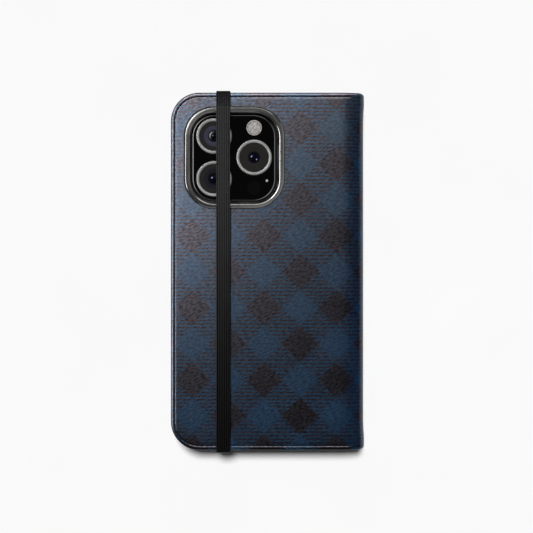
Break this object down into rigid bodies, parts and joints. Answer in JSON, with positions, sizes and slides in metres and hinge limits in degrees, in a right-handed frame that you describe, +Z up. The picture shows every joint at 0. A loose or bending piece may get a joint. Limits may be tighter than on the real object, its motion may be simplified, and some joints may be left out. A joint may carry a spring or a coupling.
{
  "type": "phone wallet case",
  "caption": "Folding phone wallet case in check-printed faux leather, with a clip-in phone tray, camera window, card pockets and an elastic closing band.",
  "frame": {"origin": "on the floor under the middle of the shut case, which lies on its front cover", "axes": "+X across the case from the free edge to the spine, +Y along the case towards the camera end, +Z up, out of the back cover"},
  "size_m": [0.0858, 0.1606, 0.02],
  "materials": {
    "printed_leather": "blue and near-black bias check printed on grained faux leather",
    "board": "pressed grey board",
    "lining_leather": "smooth matte lining",
    "thread": "polyester sewing thread",
    "pocket_leather": "fine-grained faux leather",
    "elastic": "ribbed woven elastic",
    "adhesive": "double-sided sheet",
    "tray_plastic": "fine moulded texture",
    "gunmetal": "satin gunmetal",
    "phone_metal": "brushed grey",
    "phone_glass": "polished black front",
    "camera_glass": "polished black",
    "lens_ring_metal": "polished ring",
    "lens_barrel": "dark baffles",
    "lens_cover": "coated glass",
    "flash": "frosted diffuser",
    "sensor_glass": "dark filter",
    "microphone_metal": "fine mesh"
  },
  "bodies": {
    "front_cover": {"front_skin": "printed_leather", "front_board": "board", "front_lining": "lining_leather", "front_stitching": "thread", "cash_pocket": "pocket_leather", "card_pocket_upper": "pocket_leather", "card_pocket_middle": "pocket_leather", "card_pocket_lower": "pocket_leather", "elastic_band": "elastic"},
    "spine": {"front_fold": "printed_leather", "spine_skin": "printed_leather", "spine_board": "board", "spine_lining": "lining_leather", "back_fold": "printed_leather"},
    "back_cover": {"back_skin": "printed_leather", "back_board": "board", "back_lining": "lining_leather", "back_stitching": "thread", "tray_adhesive": "adhesive", "phone_tray": "tray_plastic", "camera_bezel": "gunmetal", "phone_housing": "phone_metal", "phone_glass": "phone_glass", "camera_plate": "camera_glass", "lens_rings": "lens_ring_metal", "lens_barrels": "lens_barrel", "lens_covers": "lens_cover", "flash_window": "flash", "depth_sensor_window": "sensor_glass", "microphone_mesh": "microphone_metal"}
  },
  "joints": [
    {"name": "front_hinge", "type": "hinge", "parent": "front_cover", "child": "spine", "pos_m": [0.04141, 0, 0.00147], "axis": [0, 1, 0], "range_deg": [0, 90], "deforming": ["elastic_band", "front_fold"]},
    {"name": "back_hinge", "type": "hinge", "parent": "spine", "child": "back_cover", "pos_m": [0.04141, 0, 0.01648], "axis": [0, 1, 0], "range_deg": [0, 88], "deforming": ["back_fold"]}
  ],
  "couplings": [
    {"joint": "back_hinge", "follows": "front_hinge", "ratio": 0.9777}
  ]
}
